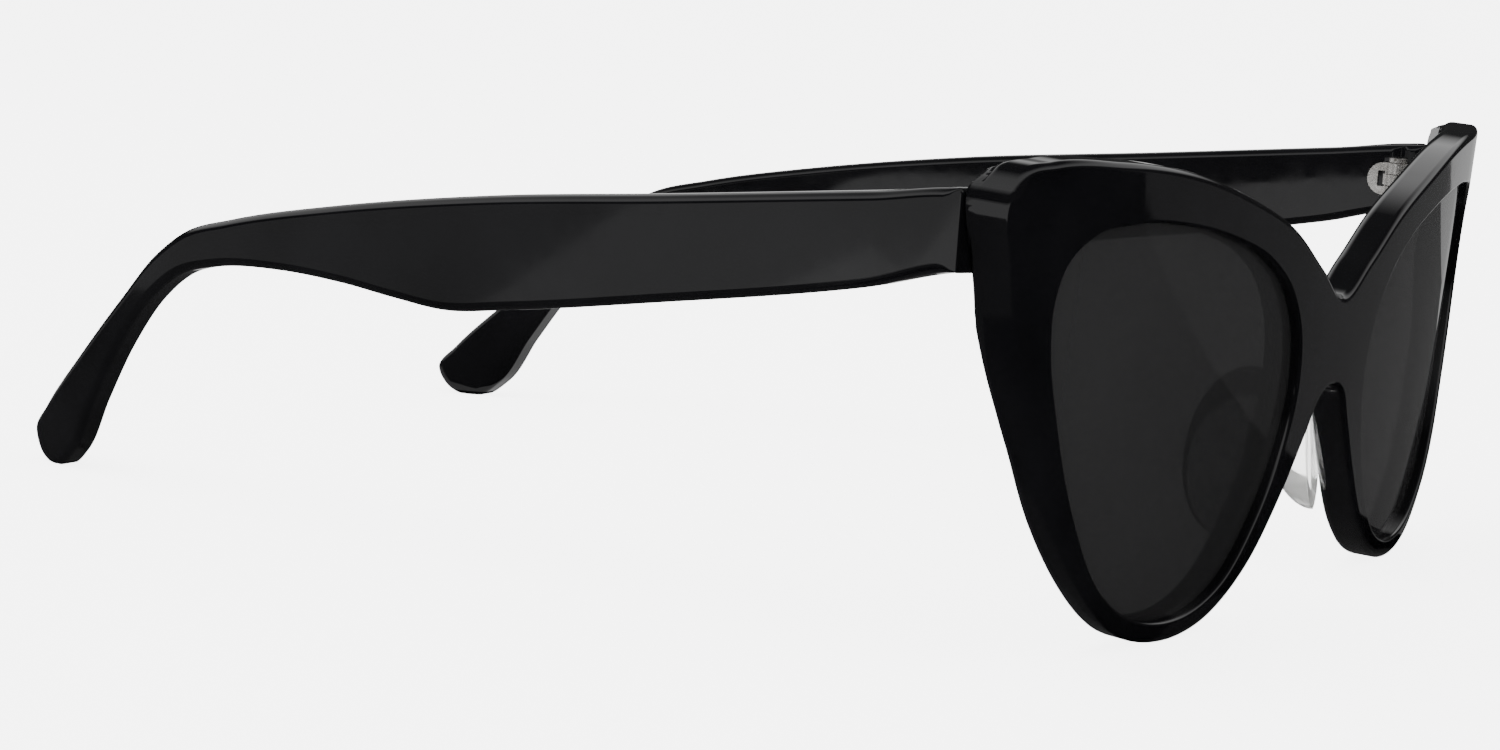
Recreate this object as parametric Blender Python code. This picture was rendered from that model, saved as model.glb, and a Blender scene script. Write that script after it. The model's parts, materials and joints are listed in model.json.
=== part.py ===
"""Cat eye sunglasses: a glossy black acetate front and temples, grey lenses, clear nose pads.

X runs to the wearer's left, -Y is the way the wearer looks, +Z is up. The sunglasses stand open,
on both rims and both temple tips, at Z = 0. Dimensions are in millimetres, and every point
becomes metres when it is placed.
"""

import math

import bmesh
import bpy
from mathutils import Matrix, Vector

MM = 0.001

# Stance of the whole object
BASE_RADIUS = 285.0             # cylinder that the front is bent to
TILT = math.radians(3.0)        # the front leans forward at the top
CENTRE_Y = 73.18                # middle of the depth, from the bridge to the temple tips
FLOOR = 0.25                    # the rims and tips are flattened at this height

# Front
FRONT_THICKNESS = 4.6
FRONT_EDGE = 0.8
END_PIECE_THICKNESS = 5.8
END_PIECE_SIDE = (56.0, 59.0)   # across, where the front thickens a little behind the hinge
END_PIECE_HEIGHT = (32.0, 38.5)
BUTT_X = 67.0                   # outer edge of the flat back of an end piece, where its
BUTT_Y = 13.4                   # temple closes
MITRE = math.radians(26.0)      # the flat runs forward from there, towards the bridge
BUTT_REACH = 7.2                # how far past the hinge axis the flat runs
END_PIECE_STRAIGHT = (58.0, 67.0)   # across, where the side turns to run straight back
WRAP_START = 50.0               # outside this the front wraps back a little more
WRAP = 3.3 / 20.0 ** 2
BEND_STEP = 10.0

# Half outline of the front, from the top of the bridge round the end piece to the bottom
OUTLINE = [
    (0.0, 34.9), (7.2, 38.5), (16.0, 43.2), (28.0, 47.1), (41.5, 50.1), (53.6, 51.2),
    (62.9, 51.1), (66.0, 50.3), (67.1, 48.0), (66.2, 41.0), (64.2, 32.0), (61.4, 22.8),
    (56.8, 13.6), (50.5, 6.4), (43.0, 1.5), (34.5, 0.0), (26.0, 1.3), (17.8, 5.8),
    (10.6, 13.4), (5.8, 20.0), (3.1, 23.6),
]
BRIDGE_UNDERSIDE = (0.0, 24.6)
# Lens opening, from the outer corner over the top
OPENING = [
    (60.9, 37.4), (59.7, 41.3), (56.8, 43.8), (50.5, 44.9), (41.0, 44.5), (31.0, 42.8),
    (22.0, 40.1), (15.4, 36.0), (11.9, 31.2), (10.8, 25.5), (12.7, 18.2), (17.0, 11.2),
    (23.0, 5.4), (29.6, 2.8), (36.6, 2.4), (43.2, 3.9), (49.4, 8.0), (54.9, 16.0),
    (58.7, 25.4), (60.6, 32.4),
]

# Lenses and the groove that holds them
LENS_THICKNESS = 2.0
LENS_BEVEL = 0.9
LENS_DEPTH = 2.2                # from the front face to the middle of the lens
GROOVE_CLEARANCE = 0.1

# Temples: side profile in depth and height, over the top to the tip and back underneath
TEMPLE = [
    (8.0, 48.9), (25.0, 46.8), (50.0, 43.7), (75.0, 40.7), (96.0, 37.3), (112.0, 33.9),
    (119.5, 31.7), (124.6, 28.5), (131.0, 22.4), (138.9, 14.5), (146.0, 7.0), (148.2, 4.0),
    (146.6, 1.0), (142.8, 0.0), (139.8, 2.2), (136.0, 8.8), (131.0, 16.6), (125.1, 23.2),
    (120.2, 26.5), (114.0, 28.2), (104.0, 29.1), (94.0, 28.9), (86.0, 28.2), (79.0, 27.8),
    (70.0, 29.0), (50.0, 32.4), (25.0, 37.1), (8.0, 40.9),
]
TEMPLE_THICKNESS = 4.2
TEMPLE_EDGE = 0.9
TEMPLE_FRONT_X = 65.0           # middle of the thickness at the butt
TEMPLE_CLOSING = 0.11           # how far a temple comes inward for each step back
EAR_BEND_Y = 95.0
EAR_BEND_INWARD = 3.9 / 39.0 ** 2
BUTT_GAP = 0.3

# Steel core inside each temple: its path in depth and height
CORE_PATH = [
    (15.2, 43.3), (40.0, 39.9), (70.0, 35.8), (95.0, 33.2), (112.0, 31.2), (118.5, 29.6),
    (123.0, 26.7), (128.0, 21.6), (134.0, 14.6), (140.5, 5.8),
]
CORE_RADIUS = 0.6
CORE_CLEARANCE = 0.1

# Three-barrel hinges. Places are counted from the hinge axis.
HINGE_Y = 15.0
HINGE_HEIGHT = 43.6
KNUCKLE_RADIUS = 1.4
KNUCKLE_LENGTH = 1.4
KNUCKLE_GAP = 0.1
AXIS_TO_TEMPLE = 1.5            # from the axis to the temple's inner face
SCREW_RADIUS = 0.65
SCREW_HOLE_RADIUS = 0.75
SCREW_HEAD_RADIUS = 1.15
SCREW_HEAD_LENGTH = 0.5
LEAF_THICKNESS = 0.75
LEAF_SUNK = 0.35
LEAF_HEIGHT = 4.2
LEAF_END_STEPS = 12
ARM_INSET = 0.03                # a knuckle's arm is this much thinner above and below
LEAF_CLEARANCE = 0.06
TEMPLE_LEAF = (1.65, 2.0)       # straight part of the temple's leaf, behind the axis
FRONT_LEAF = (-3.7, -0.1)       # width of the front's leaf, across
LEAF_WINDOW = (1.85, 2.75)
WINDOW_HEIGHT = 2.0
ANCHOR_HEIGHT = 1.6
ANCHOR_DEPTH = 0.9

# Clear nose pads, glued to the nasal corner of each rim
PAD_MIDDLE = (9.9, 5.4, 17.4)
PAD_RADII = (2.1, 6.0, 9.8)
PAD_LEAN = math.radians(20.0)
PAD_SPLAY = math.radians(18.0)
GLUE_GAP = 0.06

COLOURS = {
    "acetate": ((0.006, 0.006, 0.007), 0.06, 0.0, 1.0),
    "lens": ((0.02, 0.02, 0.022), 0.02, 0.0, 0.9),
    "pad": ((0.86, 0.85, 0.80), 0.08, 0.0, 0.4),
    "metal": ((0.72, 0.70, 0.67), 0.25, 1.0, 1.0),
}


# ---------------------------------------------------------------- scene and materials

def clear_scene():
    for thing in list(bpy.data.objects):
        bpy.data.objects.remove(thing, do_unlink=True)


def make_collection(name):
    collection = bpy.data.collections.new(name)
    bpy.context.scene.collection.children.link(collection)
    return collection


def make_material(name):
    colour, roughness, metallic, alpha = COLOURS[name]
    material = bpy.data.materials.new(name)
    material.use_nodes = True
    shader = material.node_tree.nodes["Principled BSDF"]
    shader.inputs["Base Color"].default_value = (*colour, 1.0)
    shader.inputs["Roughness"].default_value = roughness
    shader.inputs["Metallic"].default_value = metallic
    shader.inputs["Alpha"].default_value = alpha
    return material


clear_scene()
SUNGLASSES = make_collection("cat_eye_sunglasses")
CUTTERS = make_collection("cutters")
MATERIALS = {name: make_material(name) for name in COLOURS}


def add_object(name, mesh, collection):
    thing = bpy.data.objects.new(name, mesh)
    collection.objects.link(thing)
    if collection is CUTTERS:
        thing.hide_render = True
        thing.display_type = "WIRE"
    return thing


def finish_part(thing, name, material):
    """Names a finished piece, gives it its material and moves it to the object's collection."""
    thing.name = name
    thing.data.name = name
    thing.data.materials.clear()
    thing.data.materials.append(MATERIALS[material])
    thing.data.shade_smooth()
    thing.data.set_sharp_from_angle(angle=math.radians(30.0))
    thing.display_type = "TEXTURED"
    thing.hide_render = False
    for collection in list(thing.users_collection):
        collection.objects.unlink(thing)
    SUNGLASSES.objects.link(thing)
    return thing


def bake(thing):
    """Replaces an object's mesh by its evaluated one, with its modifiers applied."""
    bpy.context.view_layer.update()
    graph = bpy.context.evaluated_depsgraph_get()
    mesh = bpy.data.meshes.new_from_object(thing.evaluated_get(graph))
    thing.modifiers.clear()
    thing.data = mesh


def edit(thing, change):
    """Runs change(bm) on an object's mesh and leaves its faces pointing out."""
    bm = bmesh.new()
    bm.from_mesh(thing.data)
    change(bm)
    bmesh.ops.recalc_face_normals(bm, faces=bm.faces)
    if bm.calc_volume(signed=True) < 0.0:
        bmesh.ops.reverse_faces(bm, faces=bm.faces)
    bm.to_mesh(thing.data)
    bm.free()


def boolean(target, cutter, operation):
    modifier = target.modifiers.new(operation.lower(), "BOOLEAN")
    modifier.operation = operation
    modifier.solver = "EXACT"
    modifier.object = cutter
    bake(target)


# ---------------------------------------------------------------- outlines

def smooth_run(points, steps):
    """A curve through all points but the first and last, which only steer its ends."""
    run = []
    for i in range(1, len(points) - 2):
        p0, p1, p2, p3 = (Vector(point) for point in points[i - 1:i + 3])
        before, span, after = ((b - a).length for a, b in ((p0, p1), (p1, p2), (p2, p3)))
        start = ((p1 - p0) / before * span + (p2 - p1) / span * before) * span / (before + span)
        end = ((p2 - p1) / span * after + (p3 - p2) / after * span) * span / (span + after)
        for k in range(steps):
            t = k / steps
            point = (p1 * (2 * t ** 3 - 3 * t ** 2 + 1) + start * (t ** 3 - 2 * t ** 2 + t)
                     + p2 * (3 * t ** 2 - 2 * t ** 3) + end * (t ** 3 - t ** 2))
            run.append((point.x, point.y))
    return run


def smooth_loop(points, steps):
    """A closed curve through the points, with steps segments between neighbours."""
    return smooth_run(points[-1:] + points + points[:2], steps)


def offset_loop(loop, distance):
    """The loop moved outward by distance, for a loop that runs anticlockwise."""
    moved = []
    count = len(loop)
    for i in range(count):
        along = Vector(loop[(i + 1) % count]) - Vector(loop[i - 1])
        outward = Vector((along.y, -along.x)).normalized()
        moved.append(tuple(Vector(loop[i]) + outward * distance))
    return moved


def front_loop(steps):
    """The whole outer outline, anticlockwise."""
    left = OUTLINE[1:]
    points = [OUTLINE[0]] + left + [BRIDGE_UNDERSIDE] + [(-u, v) for u, v in reversed(left)]
    return list(reversed(smooth_loop(points, steps)))


def opening_loop(side, steps):
    """One lens opening, anticlockwise."""
    loop = smooth_loop(OPENING, steps)
    if side < 0:
        return [(-u, v) for u, v in reversed(loop)]
    return loop


def temple_loop(steps):
    """A temple's side profile, clockwise, with a straight front end."""
    before, after = ((x - 1.0, y) for x, y in (TEMPLE[0], TEMPLE[-1]))
    return smooth_run([before] + TEMPLE + [after], steps) + [TEMPLE[-1]]


# ---------------------------------------------------------------- sheets and their bends

def sheet(name, outlines, thickness, edge, edge_steps):
    """A flat plate in XY, middle at Z = 0, with rounded edges. Holes run the other way."""
    curve = bpy.data.curves.new(name, "CURVE")
    curve.dimensions = "2D"
    curve.fill_mode = "BOTH"
    curve.extrude = thickness / 2 - edge
    curve.bevel_depth = edge
    curve.bevel_resolution = edge_steps
    curve.offset = -edge
    for outline in outlines:
        spline = curve.splines.new("POLY")
        spline.points.add(len(outline) - 1)
        for point, (x, y) in zip(spline.points, outline):
            point.co = (x, y, 0.0, 1.0)
        spline.use_cyclic_u = True
    guide = add_object(name, curve, CUTTERS)
    return mesh_from_curve(guide, 0.001)


def mesh_from_curve(guide, weld):
    """Turns a curve object into a closed mesh object of the same name and place."""
    bpy.context.view_layer.update()
    graph = bpy.context.evaluated_depsgraph_get()
    mesh = bpy.data.meshes.new_from_object(guide.evaluated_get(graph))
    name = guide.name
    place = guide.matrix_world.copy()
    bpy.data.objects.remove(guide, do_unlink=True)
    thing = add_object(name, mesh, CUTTERS)
    thing.matrix_world = place
    edit(thing, lambda bm: bmesh.ops.remove_doubles(bm, verts=bm.verts, dist=weld))
    return thing


def bend(thing, place, step):
    """Slices a flat mesh across X every step, then moves each vertex to place(x, y, z)."""
    def slice_and_move(bm):
        low = min(vertex.co.x for vertex in bm.verts)
        high = max(vertex.co.x for vertex in bm.verts)
        for k in range(math.ceil(low / step), math.floor(high / step) + 1):
            bmesh.ops.bisect_plane(
                bm, geom=bm.verts[:] + bm.edges[:] + bm.faces[:], dist=0.001,
                plane_co=(k * step, 0.0, 0.0), plane_no=(1.0, 0.0, 0.0))
        bmesh.ops.triangulate(bm, faces=bm.faces)
        for vertex in bm.verts:
            vertex.co = place(*vertex.co)
    edit(thing, slice_and_move)
    return thing


def world(x, y, z):
    """A point in millimetres, counted from the bridge and the floor, in metres."""
    return Vector((x, y - CENTRE_Y, z - FLOOR)) * MM


def ramp(value, limits):
    share = min(max((value - limits[0]) / (limits[1] - limits[0]), 0.0), 1.0)
    return share * share * (3.0 - 2.0 * share)


def front_point(u, v, depth):
    """Bends the flat front: u across, v up, depth behind the front face."""
    sine = u / BASE_RADIUS
    cosine = math.sqrt(1.0 - sine * sine)
    wrap = WRAP * max(abs(u) - WRAP_START, 0.0) ** 2
    y = BASE_RADIUS * (1.0 - cosine) + depth * cosine + wrap
    lean = sine * (1.0 - ramp(abs(u), END_PIECE_STRAIGHT))
    return world(
        u - depth * lean,
        y * math.cos(TILT) - v * math.sin(TILT),
        v * math.cos(TILT) + y * math.sin(TILT))


def frame_point(x, y, z):
    """A point of the front frame, whose back swells behind the end pieces."""
    depth = z + FRONT_THICKNESS / 2
    swell = ramp(abs(x), END_PIECE_SIDE) * ramp(y, END_PIECE_HEIGHT)
    behind_groove = ramp(depth, (LENS_DEPTH + LENS_THICKNESS, FRONT_THICKNESS))
    gain = swell * behind_groove * (END_PIECE_THICKNESS - FRONT_THICKNESS)
    return front_point(x, y, depth + gain)


def lens_point(x, y, z):
    return front_point(x, y, z + LENS_DEPTH)


def temple_middle(y):
    """How far out the middle of a temple's thickness is, at a depth."""
    past_bend = max(y - EAR_BEND_Y, 0.0)
    return TEMPLE_FRONT_X - TEMPLE_CLOSING * (y - BUTT_Y) - EAR_BEND_INWARD * past_bend ** 2


def temple_point(x, y, z):
    """A temple's flat profile lies in depth and height; its thickness becomes X."""
    return world(temple_middle(x) + z, x, y)


# ---------------------------------------------------------------- plain solids

HINGE_X = temple_middle(HINGE_Y) - TEMPLE_THICKNESS / 2 - AXIS_TO_TEMPLE
HINGE_TURN = math.atan(TEMPLE_CLOSING)
BUTT_DISTANCE = ((HINGE_Y - BUTT_Y) * math.cos(MITRE)
                 + (BUTT_X - HINGE_X) * math.sin(MITRE))


def add_solid(name, make):
    """An object from make(bm), which fills a bmesh with one primitive."""
    bm = bmesh.new()
    make(bm)
    mesh = bpy.data.meshes.new(name)
    bm.to_mesh(mesh)
    bm.free()
    return add_object(name, mesh, CUTTERS)


def flat_block(name, low, high):
    """A box between two corners."""
    low, high = Vector(low), Vector(high)
    place = Matrix.Translation((low + high) / 2) @ Matrix.Diagonal((*(high - low), 1.0))
    return add_solid(name, lambda bm: bmesh.ops.create_cube(bm, size=1.0, matrix=place))


def block(name, low, high):
    """A box between two corners, in millimetres from the bridge and the floor."""
    return flat_block(name, world(*low), world(*high))


def rod(name, radius, place, length, sides):
    """A cylinder along the Z of a placement in metres; radius and length in millimetres."""
    return add_solid(name, lambda bm: bmesh.ops.create_cone(
        bm, cap_ends=True, segments=sides, radius1=radius * MM, radius2=radius * MM,
        depth=length * MM, matrix=place))


def upright_rod(name, radius, low, high, sides):
    """A cylinder on the hinge axis, between two heights."""
    place = Matrix.Translation(world(HINGE_X, HINGE_Y, (low + high) / 2))
    return rod(name, radius, place, high - low, sides)


def mirror_copy(thing, name):
    """The same piece for the wearer's right side."""
    mesh = thing.data.copy()
    mesh.transform(Matrix.Scale(-1.0, 4, (1.0, 0.0, 0.0)))
    mesh.flip_normals()
    copy = add_object(name, mesh, CUTTERS)
    return copy


def join(name, pieces):
    """One body from overlapping pieces."""
    body = pieces[0]
    for piece in pieces[1:]:
        boolean(body, piece, "UNION")
    body.name = name
    return body


def turn(thing, angle):
    """Turns a piece drawn along Y about the hinge axis."""
    axis = world(HINGE_X, HINGE_Y, 0.0)
    rotation = Matrix.Rotation(angle, 4, "Z")
    thing.data.transform(Matrix.Translation(axis) @ rotation @ Matrix.Translation(-axis))
    return thing


def behind_butt():
    """The space behind the flat back of the left end piece."""
    low = (HINGE_X - BUTT_REACH, HINGE_Y - BUTT_DISTANCE, END_PIECE_HEIGHT[0] - 1.0)
    high = (HINGE_X + 20.0, HINGE_Y + 20.0, 80.0)
    return turn(block("behind_butt", low, high), MITRE)


def before_temple():
    """The space in front of the left temple, down to a small gap behind the end piece."""
    space = block("before_temple", (HINGE_X - 20.0, HINGE_Y - 30.0, 0.0),
                  (HINGE_X + 20.0, HINGE_Y - BUTT_DISTANCE + BUTT_GAP, 80.0))
    return turn(space, MITRE)


# ---------------------------------------------------------------- hinges

def knuckle_span(index):
    """Bottom and top of the lower (0), middle (1) or upper (2) knuckle."""
    middle = HINGE_HEIGHT + (index - 1) * (KNUCKLE_LENGTH + KNUCKLE_GAP)
    return middle - KNUCKLE_LENGTH / 2, middle + KNUCKLE_LENGTH / 2


def screw_hole():
    low, high = knuckle_span(0)[0] - 1.0, knuckle_span(2)[1] + 1.0
    return upright_rod("screw_hole", SCREW_HOLE_RADIUS, low, high, 20)


def knuckle(index):
    low, high = knuckle_span(index)
    return upright_rod("knuckle", KNUCKLE_RADIUS, low, high, 28)


def front_leaf_pieces(grow):
    """Leaf and anchor of the front's half, before they turn to the back of the end piece."""
    left, right = HINGE_X + FRONT_LEAF[0], HINGE_X + FRONT_LEAF[1]
    half = LEAF_HEIGHT / 2
    face = HINGE_Y - BUTT_DISTANCE - LEAF_SUNK
    leaf = block("front_leaf", (left - grow, face - grow, HINGE_HEIGHT - half - grow),
                 (right + grow, face + LEAF_THICKNESS, HINGE_HEIGHT + half + grow))
    inner = (left + right) / 2 - ANCHOR_HEIGHT / 2
    anchor = block(
        "front_anchor",
        (inner - grow, face - ANCHOR_DEPTH - grow, HINGE_HEIGHT - ANCHOR_HEIGHT / 2 - grow),
        (inner + ANCHOR_HEIGHT + grow, face + 0.2, HINGE_HEIGHT + ANCHOR_HEIGHT / 2 + grow))
    return [leaf, anchor]


def front_hinge():
    pieces = front_leaf_pieces(0.0)
    arm_start = HINGE_Y - BUTT_DISTANCE - LEAF_SUNK + LEAF_THICKNESS / 2
    for index in (0, 2):
        low, high = knuckle_span(index)
        arm = block("arm", (HINGE_X - KNUCKLE_RADIUS + 0.1, arm_start, low + ARM_INSET),
                    (HINGE_X - 0.1, HINGE_Y, high - ARM_INSET))
        pieces += [arm, knuckle(index)]
    leaf = join("front_hinge", pieces)
    boolean(leaf, screw_hole(), "DIFFERENCE")
    return turn(leaf, MITRE)


def temple_leaf_pieces(grow):
    """Leaf with a round rear end, and its anchor, which sit in the temple's inner face."""
    start, straight_end = TEMPLE_LEAF
    half = LEAF_HEIGHT / 2 + grow
    outer = AXIS_TO_TEMPLE + LEAF_SUNK
    thickness = LEAF_THICKNESS + grow
    middle = outer + grow - thickness / 2
    turns = [math.pi * k / LEAF_END_STEPS for k in range(LEAF_END_STEPS + 1)]
    outline = [(start - grow, half), (start - grow, -half)]
    outline += [(straight_end + half * math.sin(turn), -half * math.cos(turn)) for turn in turns]
    leaf = sheet("temple_leaf", [outline], thickness, 0.0, 0)
    bend(leaf, lambda x, y, z: world(HINGE_X + middle + z, HINGE_Y + x, HINGE_HEIGHT + y), BEND_STEP)
    anchor = block(
        "temple_anchor",
        (HINGE_X + outer - 0.2, HINGE_Y + straight_end + 0.6 - grow,
         HINGE_HEIGHT - ANCHOR_HEIGHT / 2 - grow),
        (HINGE_X + outer + ANCHOR_DEPTH + grow, HINGE_Y + straight_end + 1.5 + grow,
         HINGE_HEIGHT + ANCHOR_HEIGHT / 2 + grow))
    return [leaf, anchor]


def temple_hinge():
    low, high = knuckle_span(1)
    arm = block("arm", (HINGE_X + 0.3, HINGE_Y, low + ARM_INSET),
                (HINGE_X + AXIS_TO_TEMPLE - 0.1, HINGE_Y + TEMPLE_LEAF[0] + 0.2, high - ARM_INSET))
    leaf = join("temple_hinge", temple_leaf_pieces(0.0) + [arm, knuckle(1)])
    boolean(leaf, screw_hole(), "DIFFERENCE")
    window = block(
        "window",
        (HINGE_X, HINGE_Y + LEAF_WINDOW[0], HINGE_HEIGHT - WINDOW_HEIGHT / 2),
        (HINGE_X + 3.0, HINGE_Y + LEAF_WINDOW[1], HINGE_HEIGHT + WINDOW_HEIGHT / 2))
    boolean(leaf, window, "DIFFERENCE")
    return turn(leaf, HINGE_TURN)


def hinge_screw():
    """Slotted screw through all three knuckles."""
    top = knuckle_span(2)[1] + KNUCKLE_GAP
    shank = upright_rod("shank", SCREW_RADIUS, knuckle_span(0)[0], top + 0.1, 20)
    head = upright_rod("head", SCREW_HEAD_RADIUS, top, top + SCREW_HEAD_LENGTH, 28)
    screw = join("hinge_screw", [shank, head])
    slot = block("slot", (HINGE_X - 2.0, HINGE_Y - 0.18, top + SCREW_HEAD_LENGTH - 0.3),
                 (HINGE_X + 2.0, HINGE_Y + 0.18, top + SCREW_HEAD_LENGTH + 1.0))
    boolean(screw, slot, "DIFFERENCE")
    return screw


# ---------------------------------------------------------------- acetate and lenses

def floor_cutter():
    return block("floor_cutter", (-100.0, -20.0, -20.0), (100.0, 200.0, FLOOR))


def front_frame(hinge_pockets):
    outlines = [front_loop(3)]
    outlines += [list(reversed(opening_loop(side, 2))) for side in (1, -1)]
    frame = sheet("front_frame", outlines, FRONT_THICKNESS, FRONT_EDGE, 1)
    for side in (1, -1):
        groove_edge = offset_loop(opening_loop(side, 2), LENS_BEVEL + GROOVE_CLEARANCE)
        groove = sheet("lens_groove", [groove_edge], LENS_THICKNESS + 2 * GROOVE_CLEARANCE,
                       LENS_BEVEL, 0)
        groove.data.transform(Matrix.Translation((0.0, 0.0, LENS_DEPTH - FRONT_THICKNESS / 2)))
        boolean(frame, groove, "DIFFERENCE")
    bend(frame, frame_point, BEND_STEP)
    left_butt = behind_butt()
    right_butt = mirror_copy(left_butt, "right_butt")
    for cutter in [left_butt, right_butt, floor_cutter()] + hinge_pockets:
        boolean(frame, cutter, "DIFFERENCE")
    return frame


def lens(side):
    edge = offset_loop(opening_loop(side, 2), LENS_BEVEL)
    glass = sheet("lens", [edge], LENS_THICKNESS, LENS_BEVEL - 0.02, 0)
    return bend(glass, lens_point, BEND_STEP)


def nose_pad():
    """An oval pad, leaning with the nasal rim, whose front is cut to sit on the rim's back."""
    shape = Matrix.Diagonal((*(radius * MM for radius in PAD_RADII), 1.0))
    lean = Matrix.Rotation(-PAD_LEAN, 4, "Y") @ Matrix.Rotation(-PAD_SPLAY, 4, "Z")
    place = Matrix.Translation(world(*PAD_MIDDLE)) @ lean @ shape
    pad = add_solid("pad", lambda bm: bmesh.ops.create_uvsphere(
        bm, u_segments=20, v_segments=12, radius=1.0, matrix=place))
    front_side = flat_block("front_side", (-20.0, -20.0, -3 * FRONT_THICKNESS),
                            (30.0, 70.0, FRONT_THICKNESS / 2 + GLUE_GAP))
    bend(front_side, frame_point, BEND_STEP / 2)
    boolean(pad, front_side, "DIFFERENCE")
    return pad


def core_tube(name, radius, start_y):
    """The core's round wire, or the channel for it, which opens at the temple's front end."""
    path = CORE_PATH
    if start_y < CORE_PATH[0][0]:
        path = [(start_y, CORE_PATH[0][1] + 0.6)] + CORE_PATH
    curve = bpy.data.curves.new(name, "CURVE")
    curve.dimensions = "3D"
    curve.bevel_depth = radius * MM
    curve.bevel_resolution = 1
    curve.use_fill_caps = True
    spline = curve.splines.new("POLY")
    spline.points.add(len(path) - 1)
    for point, (y, z) in zip(spline.points, path):
        point.co = (*world(temple_middle(y), y, z), 1.0)
    return mesh_from_curve(add_object(name, curve, CUTTERS), 0.000001)


def temple(hinge_pockets):
    arm = sheet("temple", [list(reversed(temple_loop(2)))], TEMPLE_THICKNESS, TEMPLE_EDGE, 1)
    bend(arm, temple_point, BEND_STEP)
    channel = core_tube("channel", CORE_RADIUS + CORE_CLEARANCE, BUTT_Y - 3.0)
    for cutter in [before_temple(), floor_cutter(), channel] + hinge_pockets:
        boolean(arm, cutter, "DIFFERENCE")
    return arm


# ---------------------------------------------------------------- assembly

def hinge_empty(side, word):
    """The empty on a hinge axis that one temple and its pieces hang from."""
    empty = bpy.data.objects.new(f"hinge_axis_{word}", None)
    SUNGLASSES.objects.link(empty)
    empty.location = world(side * HINGE_X, HINGE_Y, HINGE_HEIGHT)
    return empty


def hang_on(thing, empty):
    """Parents a piece to its hinge, with its own origin on the axis too."""
    thing.data.transform(Matrix.Translation(-empty.location))
    thing.parent = empty


def both_sides(piece, name, material, moving):
    """Finishes a left piece and its mirrored right twin."""
    twins = [(1, "left", piece), (-1, "right", mirror_copy(piece, name))]
    for side, word, thing in twins:
        finish_part(thing, f"{name}_{word}", material)
        if moving:
            hang_on(thing, AXES[side])


AXES = {1: hinge_empty(1, "left"), -1: hinge_empty(-1, "right")}


def build():
    front_pockets = [turn(piece, MITRE) for piece in front_leaf_pieces(LEAF_CLEARANCE)]
    front_pockets += [mirror_copy(pocket, pocket.name) for pocket in front_pockets[:]]
    finish_part(front_frame(front_pockets), "front_frame", "acetate")
    both_sides(nose_pad(), "nose_pad", "pad", False)
    both_sides(lens(1), "lens", "lens", False)
    both_sides(front_hinge(), "front_hinge", "metal", False)
    both_sides(hinge_screw(), "hinge_screw", "metal", False)
    temple_pockets = [turn(piece, HINGE_TURN) for piece in temple_leaf_pieces(LEAF_CLEARANCE)]
    both_sides(temple(temple_pockets), "temple", "acetate", True)
    both_sides(temple_hinge(), "temple_hinge", "metal", True)
    core = core_tube("core", CORE_RADIUS, CORE_PATH[0][0])
    both_sides(core, "temple_core_wire", "metal", True)


build()
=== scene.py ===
import json
import math

import bmesh
import bpy
from mathutils import Matrix, Vector

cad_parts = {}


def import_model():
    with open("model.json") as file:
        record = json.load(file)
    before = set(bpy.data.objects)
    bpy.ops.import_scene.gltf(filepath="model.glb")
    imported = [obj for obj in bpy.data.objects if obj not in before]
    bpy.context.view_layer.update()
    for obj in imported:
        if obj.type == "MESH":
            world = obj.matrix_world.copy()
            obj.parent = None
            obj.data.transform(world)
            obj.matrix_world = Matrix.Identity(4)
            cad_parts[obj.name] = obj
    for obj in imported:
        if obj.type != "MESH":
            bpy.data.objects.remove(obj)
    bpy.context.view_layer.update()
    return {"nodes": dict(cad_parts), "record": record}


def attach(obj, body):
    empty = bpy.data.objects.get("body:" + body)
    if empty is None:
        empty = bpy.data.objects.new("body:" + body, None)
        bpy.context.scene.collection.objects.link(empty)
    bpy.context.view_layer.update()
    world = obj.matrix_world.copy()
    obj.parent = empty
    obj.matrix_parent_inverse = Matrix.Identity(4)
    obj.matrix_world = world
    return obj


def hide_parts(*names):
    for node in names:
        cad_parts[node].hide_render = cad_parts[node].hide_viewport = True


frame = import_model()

# Looks of the cat eye sunglasses: a polished black acetate front and temples, dark grey lenses,
# clear nose pads and steel hinges. Outlines are in millimetres, counted from the front of the
# bridge and from the height of the lowest rim point before it is flattened.

MM = 0.001

# Stance
BASE_RADIUS = 285.0             # cylinder that the front is bent to
TILT = math.radians(3.0)
HINGE_Y = 15.0
HINGE_HEIGHT = 43.6
HINGE_PLACES = {joint["child"]: Vector(joint["pos_m"])
                for joint in frame["record"]["behaviour"]["joints"]}
LEFT_HINGE = HINGE_PLACES["left_temple"]
HINGE_X = LEFT_HINGE.x / MM
CENTRE_Y = HINGE_Y - LEFT_HINGE.y / MM
FLOOR = HINGE_HEIGHT - LEFT_HINGE.z / MM

# Front
FRONT_THICKNESS = 4.6
END_PIECE_THICKNESS = 5.8
END_PIECE_SIDE = (56.0, 59.0)
END_PIECE_HEIGHT = (22.0, 38.5)
BUTT_X = 67.0
BUTT_Y = 13.4
MITRE = math.radians(26.0)
BUTT_INNER_X = 56.4             # the flat back reaches this far in
BUTT_HEIGHT = (20.0, 39.5)      # and fades out between these heights
BUTT_RELEASE = 3.0              # by lying this much further back
END_PIECE_STRAIGHT = (58.0, 67.0)
WRAP_START = 50.0
WRAP = 3.3 / 20.0 ** 2
OUTLINE = [
    (0.0, 34.9), (7.2, 38.5), (16.0, 43.2), (28.0, 47.1), (41.5, 50.1), (53.6, 51.2),
    (62.9, 51.1), (66.0, 50.3), (67.1, 48.0), (66.2, 41.0), (64.2, 32.0), (61.4, 22.8),
    (56.8, 13.6), (50.5, 6.4), (43.0, 1.5), (34.5, 0.0), (26.0, 1.3), (17.8, 5.8),
    (10.6, 13.4), (5.8, 20.0), (3.1, 23.6),
]
BRIDGE_UNDERSIDE = (0.0, 24.6)
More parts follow.
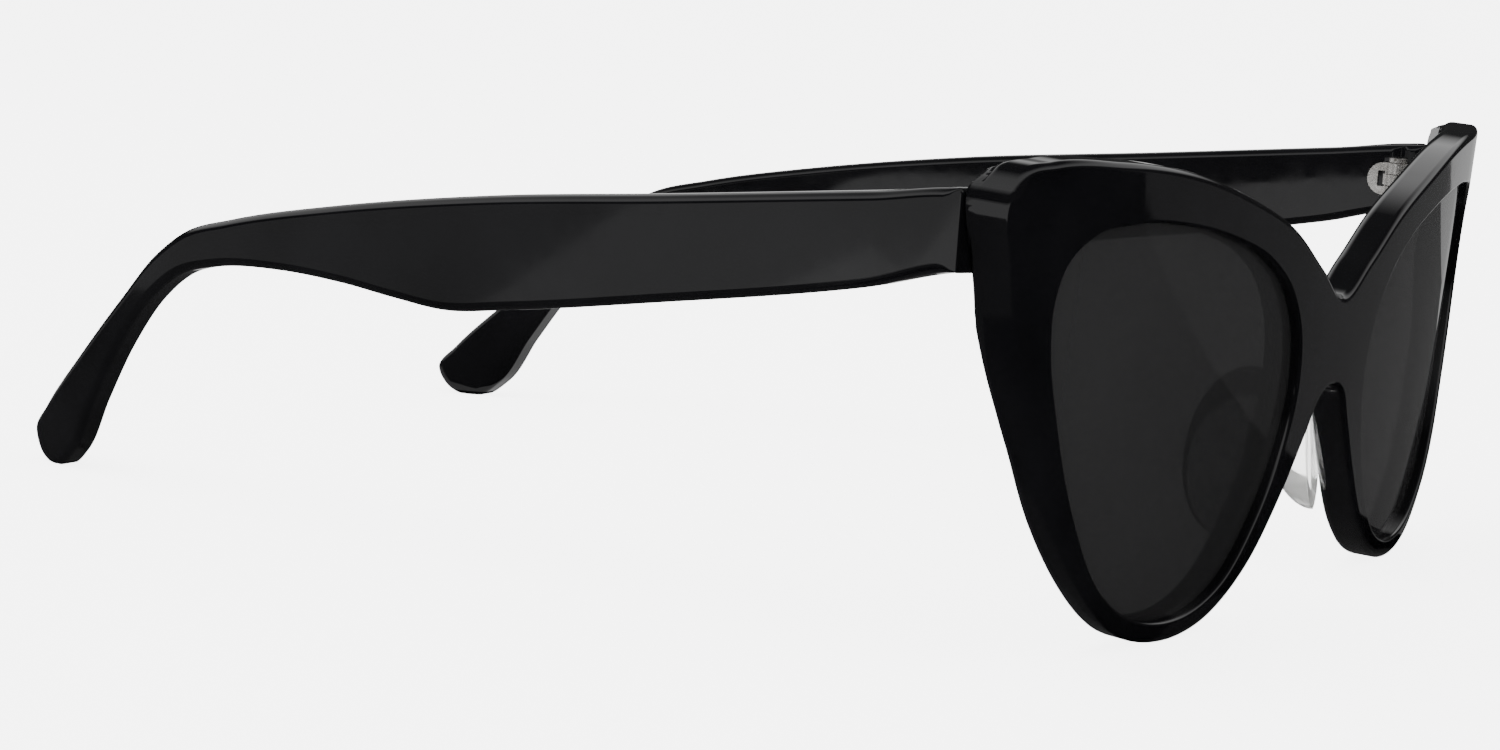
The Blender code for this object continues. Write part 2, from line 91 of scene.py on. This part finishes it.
OPENING = [
    (60.9, 37.4), (59.7, 41.3), (56.8, 43.8), (50.5, 44.9), (41.0, 44.5), (31.0, 42.8),
    (22.0, 40.1), (15.4, 36.0), (11.9, 31.2), (10.8, 25.5), (12.7, 18.2), (17.0, 11.2),
    (23.0, 5.4), (29.6, 2.8), (36.6, 2.4), (43.2, 3.9), (49.4, 8.0), (54.9, 16.0),
    (58.7, 25.4), (60.6, 32.4),
]
FRONT_FILLET = 0.85             # round edge of the outline, in front
BACK_FILLET = 1.5               # and behind
BUTT_FILLET = 0.4               # where a temple closes against it
BUTT_EDGE_SIDE = (60.0, 64.0)   # where that fillet sets in, outwards
BUTT_EDGE_TOP = (47.5, 50.0)    # and where it ends, upwards
OPENING_FILLETS = (0.45, 0.7)   # in front and behind

# Fineness of the meshes: points for each stretch of an outline, rings in a quarter turn of an
# edge, and the steps in which the front, lenses and temples are cut so that they can bend
CURVE_STEPS = 16
FILLET_STEPS = 6
FRONT_SLICES = (1.5, 2.5)       # across and upwards
LENS_SLICE = 2.0
TEMPLE_SLICE = 1.5
NEAR_PLANE = 0.0005             # a point this close to a cut is on it
SHORT_EDGE = 0.0002             # shorter edges are merged away
SHORT_STEP = 0.02               # how far to each side a bent surface's direction is taken from

# Lenses
LENS_THICKNESS = 2.0
LENS_DEPTH = 2.2
LENS_SUNK = 0.5                 # how far a lens reaches into the rim
LENS_FILLET = 0.15

# Temples: side profile from the butt over the top to the tip and back underneath
TEMPLE = [
    (12.8, 48.3), (25.0, 46.8), (50.0, 43.7), (75.0, 40.7), (96.0, 37.3), (112.0, 33.9),
    (119.5, 31.7), (124.6, 28.5), (131.0, 22.4), (138.9, 14.5), (146.0, 7.0), (148.2, 4.0),
    (146.6, 1.0), (142.8, 0.0), (139.8, 2.2), (136.0, 8.8), (131.0, 16.6), (125.1, 23.2),
    (120.2, 26.5), (114.0, 28.2), (104.0, 29.1), (94.0, 28.9), (86.0, 28.2), (79.0, 27.8),
    (70.0, 29.0), (50.0, 32.4), (25.0, 37.1), (12.8, 40.0),
]
TEMPLE_THICKNESS = 4.2
TEMPLE_FILLET = 1.0
TEMPLE_END_FILLET = 0.2         # share of it that is left at the front end
TEMPLE_END_EASE = (13.0, 15.0)  # and where it grows to the whole
MITRE_EASE = (13.5, 24.0)       # the front end's slant dies out between these depths
TEMPLE_FRONT_X = 65.0
TEMPLE_CLOSING = 0.11
HINGE_SWEEP = 1.8               # room round the hinge axis, cut out of a temple's inner face
EAR_BEND_Y = 95.0
EAR_BEND_INWARD = 3.9 / 39.0 ** 2

# Nose pads
PAD_MIDDLE = (9.9, 5.4, 17.4)
PAD_RADII = (2.1, 6.0, 9.8)
PAD_LEAN = math.radians(20.0)
PAD_SPLAY = math.radians(18.0)
PAD_FULLNESS = 0.10             # swells the quarters of the oval, towards a rounded square
GLUE_GAP = 0.06

# Camera: where it stands, how it is turned, and its lens
CAMERA_PLACE = (-0.37508, -0.21027, 0.07736)
CAMERA_YAW = math.radians(-60.67)
CAMERA_PITCH = math.radians(-8.14)
CAMERA_ROLL = math.radians(4.0)
CAMERA_LENS = 85.0
SENSOR_WIDTH = 36.0


# ---------------------------------------------------------------- materials

def new_material(name):
    material = bpy.data.materials.new(name)
    material.use_nodes = True
    return material, material.node_tree, material.node_tree.nodes["Principled BSDF"]


def noise(tree, scale, detail):
    """Noise over the object's own coordinates, scale in patches for each metre."""
    place = tree.nodes.new("ShaderNodeTexCoord")
    texture = tree.nodes.new("ShaderNodeTexNoise")
    texture.inputs["Scale"].default_value = scale
    texture.inputs["Detail"].default_value = detail
    tree.links.new(place.outputs["Object"], texture.inputs["Vector"])
    return texture.outputs["Fac"]


def vary(tree, factor, low, high, socket):
    """Runs a socket between two values, or two colours, by a 0 to 1 factor."""
    ramp_node = tree.nodes.new("ShaderNodeValToRGB")
    ramp_node.color_ramp.elements[0].position = 0.3
    ramp_node.color_ramp.elements[1].position = 0.7
    for element, value in zip(ramp_node.color_ramp.elements, (low, high)):
        colour = value if isinstance(value, tuple) else (value, value, value)
        element.color = (*colour, 1.0)
    tree.links.new(factor, ramp_node.inputs["Fac"])
    tree.links.new(ramp_node.outputs["Color"], socket)


def bump(tree, shader, factor, height):
    node = tree.nodes.new("ShaderNodeBump")
    node.inputs["Strength"].default_value = 1.0
    node.inputs["Distance"].default_value = height
    tree.links.new(factor, node.inputs["Height"])
    tree.links.new(node.outputs["Normal"], shader.inputs["Normal"])


def acetate_material():
    """Deep black with the faint waviness and uneven gloss of tumbled, polished acetate."""
    material, tree, shader = new_material("acetate_polished")
    vary(tree, noise(tree, 55.0, 3.0), (0.0025, 0.0025, 0.003), (0.006, 0.006, 0.007),
         shader.inputs["Base Color"])
    vary(tree, noise(tree, 420.0, 4.0), 0.035, 0.075, shader.inputs["Roughness"])
    bump(tree, shader, noise(tree, 160.0, 1.0), 0.000004)
    shader.inputs["IOR"].default_value = 1.5
    return material


def lens_material():
    """Dark grey tint, a touch deeper in places, with a hard polished surface."""
    material, tree, shader = new_material("lens_grey")
    vary(tree, noise(tree, 25.0, 2.0), (0.014, 0.014, 0.0145), (0.018, 0.018, 0.0185),
         shader.inputs["Base Color"])
    vary(tree, noise(tree, 300.0, 2.0), 0.015, 0.03, shader.inputs["Roughness"])
    shader.inputs["Specular IOR Level"].default_value = 0.08
    shader.inputs["Alpha"].default_value = 0.96
    return material


def pad_material():
    """Clear moulded plastic, slightly hazy."""
    material, tree, shader = new_material("pad_clear")
    vary(tree, noise(tree, 90.0, 2.0), (0.93, 0.93, 0.91), (0.98, 0.98, 0.97),
         shader.inputs["Base Color"])
    vary(tree, noise(tree, 500.0, 2.0), 0.03, 0.10, shader.inputs["Roughness"])
    shader.inputs["Transmission Weight"].default_value = 0.7
    shader.inputs["IOR"].default_value = 1.45
    return material


def metal_material():
    """Nickel-plated steel with a fine brushed roughness."""
    material, tree, shader = new_material("hinge_metal")
    vary(tree, noise(tree, 700.0, 3.0), (0.62, 0.60, 0.57), (0.82, 0.80, 0.77),
         shader.inputs["Base Color"])
    fine = noise(tree, 2600.0, 2.0)
    vary(tree, fine, 0.16, 0.32, shader.inputs["Roughness"])
    bump(tree, shader, fine, 0.000006)
    shader.inputs["Metallic"].default_value = 0.75
    return material


ACETATE = acetate_material()
LENS = lens_material()
PAD = pad_material()
METAL = metal_material()


# ---------------------------------------------------------------- outlines

def smooth_run(points, steps):
    """A curve through all points but the first and last, which only steer its ends."""
    run = []
    for i in range(1, len(points) - 2):
        p0, p1, p2, p3 = (Vector(point) for point in points[i - 1:i + 3])
        before, span, after = ((b - a).length for a, b in ((p0, p1), (p1, p2), (p2, p3)))
        start = ((p1 - p0) / before * span + (p2 - p1) / span * before) * span / (before + span)
        end = ((p2 - p1) / span * after + (p3 - p2) / after * span) * span / (span + after)
        for k in range(steps):
            t = k / steps
            point = (p1 * (2 * t ** 3 - 3 * t ** 2 + 1) + start * (t ** 3 - 2 * t ** 2 + t)
                     + p2 * (3 * t ** 2 - 2 * t ** 3) + end * (t ** 3 - t ** 2))
            run.append((point.x, point.y))
    return run


def smooth_loop(points, steps):
    return smooth_run(points[-1:] + points + points[:2], steps)


def front_loop(steps):
    """The whole outer outline, with the material on its left."""
    left = OUTLINE[1:]
    points = [OUTLINE[0]] + left + [BRIDGE_UNDERSIDE] + [(-u, v) for u, v in reversed(left)]
    return list(reversed(smooth_loop(points, steps)))


def opening_loop(side, steps):
    """One lens opening, with the lens on its left."""
    loop = smooth_loop(OPENING, steps)
    if side < 0:
        return [(-u, v) for u, v in reversed(loop)]
    return loop


def temple_loop(steps):
    """A temple's side profile, with the material on its left and a straight front end."""
    before, after = ((x - 1.0, y) for x, y in (TEMPLE[0], TEMPLE[-1]))
    run = smooth_run([before] + TEMPLE + [after], steps) + [TEMPLE[-1]]
    bottom, top = TEMPLE[-1], TEMPLE[0]
    rise = [(top[0], bottom[1] + (top[1] - bottom[1]) * k / steps) for k in range(1, steps)]
    return list(reversed(run + rise))


# ---------------------------------------------------------------- rounded plates

def plate_rows():
    """How far round its fillet each ring of a plate lies: (in front, angle)."""
    turns = [math.pi / 2 * k / FILLET_STEPS for k in range(FILLET_STEPS + 1)]
    return [(True, turn) for turn in turns] + [(False, turn) for turn in reversed(turns)]


def left_normals(loop):
    """At each point of a loop, the unit vector to the left of its run."""
    count = len(loop)
    runs = [Vector(loop[(i + 1) % count]) - Vector(loop[i - 1]) for i in range(count)]
    return [Vector((-run.y, run.x)).normalized() for run in runs]


def add_ring(bm, facing, loop, radii, row, depths):
    """One ring of a plate's edge, each vertex with the direction it faces."""
    in_front, turn = row
    ring = []
    for start, left, both in zip(loop, left_normals(loop), radii):
        r = both[0] if in_front else both[1]
        point = Vector(start) + left * r * (1.0 - math.sin(turn))
        sunk = r * (1.0 - math.cos(turn))
        depth = depths[0] + sunk if in_front else depths[1] - sunk
        vertex = bm.verts.new((point.x, point.y, depth))
        out = -left * math.sin(turn)
        across = -math.cos(turn) if in_front else math.cos(turn)
        vertex[facing] = (out.x, out.y, across)
        ring.append(vertex)
    return ring


def ring_edges(bm, ring):
    return [bm.edges.get((a, b)) for a, b in zip(ring, ring[1:] + ring[:1])]


def plate_mesh(loops, radius, depths):
    """A plate between two depths, with round edges of radius(x, y) -> (front, back)."""
    bm = bmesh.new()
    facing = bm.verts.layers.float_vector.new("facing")
    ends = {True: [], False: []}
    for loop in loops:
        radii = [radius(*point) for point in loop]
        rings = [add_ring(bm, facing, loop, radii, row, depths) for row in plate_rows()]
        for first, second in zip(rings, rings[1:]):
            for a, b, c, d in zip(first, first[1:] + first[:1], second[1:] + second[:1], second):
                bm.faces.new((a, b, c, d))
        ends[True] += ring_edges(bm, rings[0])
        ends[False] += ring_edges(bm, rings[-1])
    for edges in ends.values():
        bmesh.ops.triangle_fill(bm, use_beauty=True, edges=edges, normal=(0.0, 0.0, 1.0))
    return bm


def slice_plate(bm, axis, step):
    """Cuts the plate across an axis every step, so that it can bend."""
    values = [vertex.co[axis] for vertex in bm.verts]
    normal = Vector((0.0, 0.0, 0.0))
    normal[axis] = 1.0
    for k in range(math.ceil(min(values) / step), math.floor(max(values) / step) + 1):
        geometry = bm.verts[:] + bm.edges[:] + bm.faces[:]
        bmesh.ops.bisect_plane(bm, geom=geometry, dist=NEAR_PLANE, plane_co=normal * k * step,
                               plane_no=normal)


def placed_normal(place, spot, facing):
    """The line square to a plate's surface once place has bent it, in or out by place's hand."""
    first = facing.orthogonal().normalized()
    second = facing.cross(first)
    along = [place(*(spot + side * SHORT_STEP)) - place(*(spot - side * SHORT_STEP))
             for side in (first, second)]
    return along[0].cross(along[1]).normalized()


def new_object(bm, name, material):
    """A smooth-shaded object with one material, linked to the scene."""
    mesh = bpy.data.meshes.new(name)
    bm.to_mesh(mesh)
    bm.free()
    mesh.shade_smooth()
    mesh.materials.append(material)
    thing = bpy.data.objects.new(name, mesh)
    bpy.context.scene.collection.objects.link(thing)
    return thing


def bend_plate(bm, name, material, place, mirrored=False):
    """Moves a flat plate's vertices to place(x, y, z). mirrored turns faces and normals round."""
    layer = bm.verts.layers.float_vector["facing"]
    bmesh.ops.triangulate(bm, faces=[face for face in bm.faces if len(face.verts) > 4])
    bmesh.ops.dissolve_degenerate(bm, dist=SHORT_EDGE, edges=bm.edges)
    bmesh.ops.recalc_face_normals(bm, faces=bm.faces)
    if (bm.calc_volume(signed=True) < 0.0) != mirrored:
        bmesh.ops.reverse_faces(bm, faces=bm.faces)
    bm.verts.index_update()
    turned = -1.0 if mirrored else 1.0
    normals = []
    for vertex in bm.verts:
        spot, facing = vertex.co.copy(), vertex[layer].normalized()
        normals.append(placed_normal(place, spot, facing) * turned)
        vertex.co = place(*spot)
    thing = new_object(bm, name, material)
    thing.data.normals_split_custom_set_from_vertices(normals)
    return thing


def adopt(thing, body, slot_name, *nodes):
    """The piece moves with a body and stands for its CAD nodes."""
    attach(thing, body)
    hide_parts(*nodes)
    return thing


# ---------------------------------------------------------------- bends

def world(x, y, z):
    """A point in millimetres, counted from the bridge and the floor, in metres."""
    return Vector((x, y - CENTRE_Y, max(z - FLOOR, 0.0))) * MM


def ramp(value, limits):
    """Goes smoothly from 0 to 1 between two limits."""
    share = min(max((value - limits[0]) / (limits[1] - limits[0]), 0.0), 1.0)
    return share * share * (3.0 - 2.0 * share)


def front_place(u, v, depth):
    """Bends the flat front: u across, v up, depth behind the front face. In millimetres."""
    sine = u / BASE_RADIUS
    cosine = math.sqrt(1.0 - sine * sine)
    wrap = WRAP * max(abs(u) - WRAP_START, 0.0) ** 2
    y = BASE_RADIUS * (1.0 - cosine) + depth * cosine + wrap
    lean = sine * (1.0 - ramp(abs(u), END_PIECE_STRAIGHT))
    return (u - depth * lean,
            y * math.cos(TILT) - v * math.sin(TILT),
            v * math.cos(TILT) + y * math.sin(TILT))


def butt_depth(x):
    """The flat back of the end pieces: how far back it lies, at a distance across."""
    return BUTT_Y - (BUTT_X - abs(x)) * math.tan(MITRE)


def frame_point(u, v, depth):
    """A point of the front, whose back swells behind the end pieces and is cut flat there."""
    swell = ramp(abs(u), END_PIECE_SIDE) * ramp(v, END_PIECE_HEIGHT)
    behind_groove = ramp(depth, (LENS_DEPTH + LENS_THICKNESS, FRONT_THICKNESS))
    gain = swell * behind_groove * (END_PIECE_THICKNESS - FRONT_THICKNESS)
    x, y, z = front_place(u, v, depth + gain)
    inside_butt = max(BUTT_INNER_X - abs(x), 0.0)
    below_butt = 1.0 - ramp(v, BUTT_HEIGHT)
    limit = butt_depth(x) + inside_butt + BUTT_RELEASE * below_butt
    return world(x, min(y, limit), z)


def lens_point(u, v, depth):
    """A point of a lens, which follows the front's own bend."""
    return world(*front_place(u, v, depth))


def temple_middle(y):
    """How far out the middle of a temple's thickness is, at a depth."""
    past_bend = max(y - EAR_BEND_Y, 0.0)
    return TEMPLE_FRONT_X - TEMPLE_CLOSING * (y - BUTT_Y) - EAR_BEND_INWARD * past_bend ** 2


def clear_of_hinge(x, y):
    """Keeps a temple's inner face out of the front hinge half's way as it folds."""
    behind = y - HINGE_Y
    if abs(behind) < HINGE_SWEEP:
        return max(x, HINGE_X + math.sqrt(HINGE_SWEEP ** 2 - behind ** 2))
    return x


def temple_point(side):
    """Places a temple's flat profile; its front end slants with the butt joint."""
    def place(y, z, across):
        slant = 1.0 - ramp(y, MITRE_EASE)
        x = temple_middle(y) + across
        slanted_y = y + across * math.tan(MITRE) * slant
        return world(side * clear_of_hinge(x, slanted_y), slanted_y, z)
    return place


# ---------------------------------------------------------------- pieces

def frame_radius(u, v):
    """The outline's fillets at a point of it, in front and behind."""
    at_butt = ramp(abs(u), BUTT_EDGE_SIDE) * (1.0 - ramp(v, BUTT_EDGE_TOP))
    return FRONT_FILLET, BACK_FILLET + (BUTT_FILLET - BACK_FILLET) * at_butt


def front_frame():
    """The whole front in one piece, its outline and openings rounded by different fillets."""
    openings = [list(reversed(opening_loop(side, CURVE_STEPS))) for side in (1, -1)]

    def radius(u, v):
        on_outline = (round(u, 6), round(v, 6)) in outline_points
        return frame_radius(u, v) if on_outline else OPENING_FILLETS

    outline = front_loop(CURVE_STEPS)
    outline_points = {(round(u, 6), round(v, 6)) for u, v in outline}
    bm = plate_mesh([outline] + openings, radius, (0.0, FRONT_THICKNESS))
    for axis, step in enumerate(FRONT_SLICES):
        slice_plate(bm, axis, step)
    thing = bend_plate(bm, "acetate_front", ACETATE, frame_point)
    return adopt(thing, "front", "acetate", "front_frame")


def lens(side, word):
    """A curved plate a little larger than its opening, so that its edge is in the rim."""
    loop = opening_loop(side, CURVE_STEPS)
    edge = [tuple(Vector(point) - left * LENS_SUNK) for point, left in zip(loop, left_normals(loop))]
    depths = (LENS_DEPTH - LENS_THICKNESS / 2, LENS_DEPTH + LENS_THICKNESS / 2)
    bm = plate_mesh([edge], lambda u, v: (LENS_FILLET, LENS_FILLET), depths)
    slice_plate(bm, 0, LENS_SLICE)
    thing = bend_plate(bm, f"grey_lens_{word}", LENS, lens_point)
    return adopt(thing, "front", "lens", f"lens_{word}")


def temple_radius(y, z):
    """A temple's fillets at a point of its profile: nearly sharp where it meets the front."""
    share = TEMPLE_END_FILLET + (1.0 - TEMPLE_END_FILLET) * ramp(y, TEMPLE_END_EASE)
    return TEMPLE_FILLET * share, TEMPLE_FILLET * share


def temple(side, word):
    half = TEMPLE_THICKNESS / 2
    bm = plate_mesh([temple_loop(CURVE_STEPS)], temple_radius, (-half, half))
    slice_plate(bm, 0, TEMPLE_SLICE)
    thing = bend_plate(bm, f"acetate_temple_{word}", ACETATE, temple_point(side), side > 0)
    return adopt(thing, f"{word}_temple", "acetate", f"temple_{word}")


def pad_back(x, z):
    """How far back the rim's back face lies, where a nose pad is glued to it."""
    bulge = BASE_RADIUS - math.sqrt(BASE_RADIUS ** 2 - x * x)
    return bulge + FRONT_THICKNESS + GLUE_GAP - z * math.sin(TILT)


def nose_pad(side, word):
    """A soft-edged oval pad whose front is cut to sit on the rim's back."""
    bm = bmesh.new()
    bmesh.ops.create_uvsphere(bm, u_segments=64, v_segments=40, radius=1.0)
    lean = Matrix.Rotation(-PAD_LEAN, 3, "Y") @ Matrix.Rotation(-PAD_SPLAY, 3, "Z")
    for vertex in bm.verts:
        fuller = vertex.co * (1.0 + PAD_FULLNESS * (vertex.co.x * vertex.co.y) ** 2)
        sized = Vector(size * value for size, value in zip(PAD_RADII, fuller))
        x, y, z = lean @ sized + Vector(PAD_MIDDLE)
        vertex.co = world(side * x, max(y, pad_back(x, z)), z)
    bmesh.ops.recalc_face_normals(bm, faces=bm.faces)
    thing = new_object(bm, f"clear_pad_{word}", PAD)
    return adopt(thing, "front", "pad", f"nose_pad_{word}")


def paint_hinges():
    """The steel pieces are true to size as they come, and take the hinge metal."""
    for name, node in frame["nodes"].items():
        if "hinge" in name or "wire" in name:
            node.data.materials.clear()
            node.data.materials.append(METAL)


def build_sunglasses():
    front_frame()
    for side, word in ((1, "left"), (-1, "right")):
        lens(side, word)
        temple(side, word)
        nose_pad(side, word)
    paint_hinges()


# ---------------------------------------------------------------- studio

WORLD_STRENGTH = 1.1
BACKDROP_STRENGTH = 5.0         # added to what is seen directly or through clear plastic
FLOOR_GREY = 0.92
FLOOR_ROUGHNESS = 0.9
FLOOR_REACH = 8.0               # the studio's own lengths are in metres
FLOOR_DROP = 0.00005
KEY_PLACE = (-0.3, 0.2, 0.9)
KEY_SIZE = 0.7
KEY_POWER = 4.0
CARD_HEIGHT = 0.0005
CARD_STEPS = 12
# What polished surfaces see on the ground, painted as glowing sheets that only reflections show (the
# dark ones under and near the glasses are painted shade): distances, bearings in degrees, brightness
GROUND = {
    "under": ((0.001, 0.08), (0.0, 360.0), 0.06),
    "front_black": ((0.08, 8.0), (-165.0, -57.0), 0.0),
    "front_grey": ((0.08, 8.0), (-57.0, -10.0), 0.14),
    "right": ((0.08, 8.0), (-10.0, 75.0), 0.7),
    "left_near": ((0.08, 0.17), (165.0, 195.0), 0.07),
    "left": ((0.17, 0.9), (165.0, 195.0), 0.9),
    "back_near": ((0.08, 0.25), (75.0, 165.0), 0.07),
    "left_middle": ((0.25, 0.9), (151.0, 165.0), 0.9),
    "left_back": ((0.25, 0.9), (143.0, 151.0), 0.6),
    "back": ((0.25, 0.9), (75.0, 143.0), 0.32),
    "left_far": ((0.9, 8.0), (75.0, 195.0), 0.45),
}
# What they see higher up: sine of the elevation, brightness
SKY = ((0.28, 0.03), (0.40, 1.1), (0.58, 1.0), (0.80, 0.06))


def glow_material(name, grey):
    """Gives off its own light and takes none."""
    material = bpy.data.materials.new(name)
    material.use_nodes = True
    tree = material.node_tree
    tree.nodes.clear()
    glow = tree.nodes.new("ShaderNodeEmission")
    glow.inputs["Color"].default_value = (grey, grey, grey, 1.0)
    output = tree.nodes.new("ShaderNodeOutputMaterial")
    tree.links.new(glow.outputs["Emission"], output.inputs["Surface"])
    return material


def flat_sheet(name, corners, material):
    mesh = bpy.data.meshes.new(name)
    mesh.from_pydata(corners, [], [tuple(range(len(corners)))])
    mesh.materials.append(material)
    thing = bpy.data.objects.new(name, mesh)
    bpy.context.scene.collection.objects.link(thing)
    return thing


def floor_material():
    """Matt white that takes shadows, made brighter where it is seen directly."""
    material, tree, shader = new_material("floor_white")
    shader.inputs["Base Color"].default_value = (FLOOR_GREY, FLOOR_GREY, FLOOR_GREY, 1.0)
    shader.inputs["Roughness"].default_value = FLOOR_ROUGHNESS
    shader.inputs["Specular IOR Level"].default_value = 0.0
    shader.inputs["Emission Strength"].default_value = 1.0
    glow = mixed_colour(tree, seen_straight(tree), 0.0, BACKDROP_STRENGTH)
    tree.links.new(glow, shader.inputs["Emission Color"])
    return material


def floor():
    corners = [(-FLOOR_REACH, -FLOOR_REACH, 0.0), (FLOOR_REACH, -FLOOR_REACH, 0.0),
               (FLOOR_REACH, FLOOR_REACH, 0.0), (-FLOOR_REACH, FLOOR_REACH, 0.0)]
    sheet = flat_sheet("floor", corners, floor_material())
    sheet.location.z = -FLOOR_DROP
    sheet.visible_glossy = False


def reflection_card(name, reach, bearings, grey):
    """A painted reflection of a part of the ground: a glowing sector between two distances that only
    polished surfaces see.
    """
    turns = [math.radians(bearings[0] + (bearings[1] - bearings[0]) * k / CARD_STEPS)
             for k in range(CARD_STEPS + 1)]
    inner = [(reach[0] * math.cos(turn), reach[0] * math.sin(turn), CARD_HEIGHT) for turn in turns]
    outer = [(reach[1] * math.cos(turn), reach[1] * math.sin(turn), CARD_HEIGHT) for turn in turns]
    card = flat_sheet(name, outer + inner[::-1], glow_material(name, grey))
    card.visible_camera = False
    card.visible_diffuse = False
    card.visible_shadow = False
    card.visible_transmission = False


def seen_straight(tree):
    """1 for what is seen directly or through clear plastic, else 0."""
    path = tree.nodes.new("ShaderNodeLightPath")
    either = tree.nodes.new("ShaderNodeMath")
    either.operation = "MAXIMUM"
    tree.links.new(path.outputs["Is Camera Ray"], either.inputs[0])
    tree.links.new(path.outputs["Is Transmission Ray"], either.inputs[1])
    return either.outputs["Value"]


def mixed_colour(tree, factor, low, high):
    """A colour that goes from low to high, each a grey or a socket."""
    node = tree.nodes.new("ShaderNodeMix")
    node.data_type = "RGBA"
    tree.links.new(factor, node.inputs["Factor"])
    for name, value in (("A", low), ("B", high)):
        if isinstance(value, float):
            node.inputs[name].default_value = (value, value, value, 1.0)
        else:
            tree.links.new(value, node.inputs[name])
    return node.outputs["Result"]


def studio_world():
    """White all round, but polished surfaces see it dark with one bright band."""
    sky = bpy.data.worlds.new("white_studio")
    sky.use_nodes = True
    tree = sky.node_tree
    path = tree.nodes.new("ShaderNodeLightPath")
    place = tree.nodes.new("ShaderNodeTexCoord")
    split = tree.nodes.new("ShaderNodeSeparateXYZ")
    rise = tree.nodes.new("ShaderNodeValToRGB")
    stops = rise.color_ramp.elements
    for position, _ in SKY[1:-1]:
        stops.new(position)
    for stop, (position, grey) in zip(stops, SKY):
        stop.position = position
        stop.color = (grey, grey, grey, 1.0)
    tree.links.new(place.outputs["Generated"], split.inputs["Vector"])
    tree.links.new(split.outputs["Z"], rise.inputs["Fac"])
    lit = mixed_colour(tree, seen_straight(tree), WORLD_STRENGTH, WORLD_STRENGTH + BACKDROP_STRENGTH)
    colour = mixed_colour(tree, path.outputs["Is Glossy Ray"], lit, rise.outputs["Color"])
    tree.links.new(colour, tree.nodes["Background"].inputs["Color"])
    bpy.context.scene.world = sky


def soft_light(name, place, target, size, power):
    """A round lamp pointed at target, which polished surfaces don't mirror."""
    lamp = bpy.data.lights.new(name, "AREA")
    lamp.shape = "DISK"
    lamp.size = size
    lamp.energy = power
    thing = bpy.data.objects.new(name, lamp)
    thing.location = place
    thing.visible_glossy = False
    thing.rotation_euler = (Vector(target) - Vector(place)).to_track_quat("-Z", "Y").to_euler()
    bpy.context.scene.collection.objects.link(thing)


def camera():
    """Looks along its yaw and pitch, counted from +y, and is rolled about that line."""
    forward = Vector((-math.sin(CAMERA_YAW) * math.cos(CAMERA_PITCH),
                      math.cos(CAMERA_YAW) * math.cos(CAMERA_PITCH), math.sin(CAMERA_PITCH)))
    level = Vector((math.cos(CAMERA_YAW), math.sin(CAMERA_YAW), 0.0))
    upright = level.cross(forward)
    right = level * math.cos(CAMERA_ROLL) + upright * math.sin(CAMERA_ROLL)
    up = upright * math.cos(CAMERA_ROLL) - level * math.sin(CAMERA_ROLL)
    data = bpy.data.cameras.new("camera")
    data.lens = CAMERA_LENS
    data.sensor_fit = "HORIZONTAL"
    data.sensor_width = SENSOR_WIDTH
    data.clip_start = 0.01
    thing = bpy.data.objects.new("camera", data)
    turn = Matrix((right, up, -forward)).transposed().to_4x4()
    thing.matrix_world = Matrix.Translation(CAMERA_PLACE) @ turn
    bpy.context.scene.collection.objects.link(thing)
    bpy.context.scene.camera = thing


def build_studio():
    floor()
    for name, (reach, bearings, grey) in GROUND.items():
        reflection_card(f"card_{name}", reach, bearings, grey)
    studio_world()
    soft_light("key", KEY_PLACE, (0.0, 0.0, 0.0), KEY_SIZE, KEY_POWER)
    camera()


build_sunglasses()
build_studio()
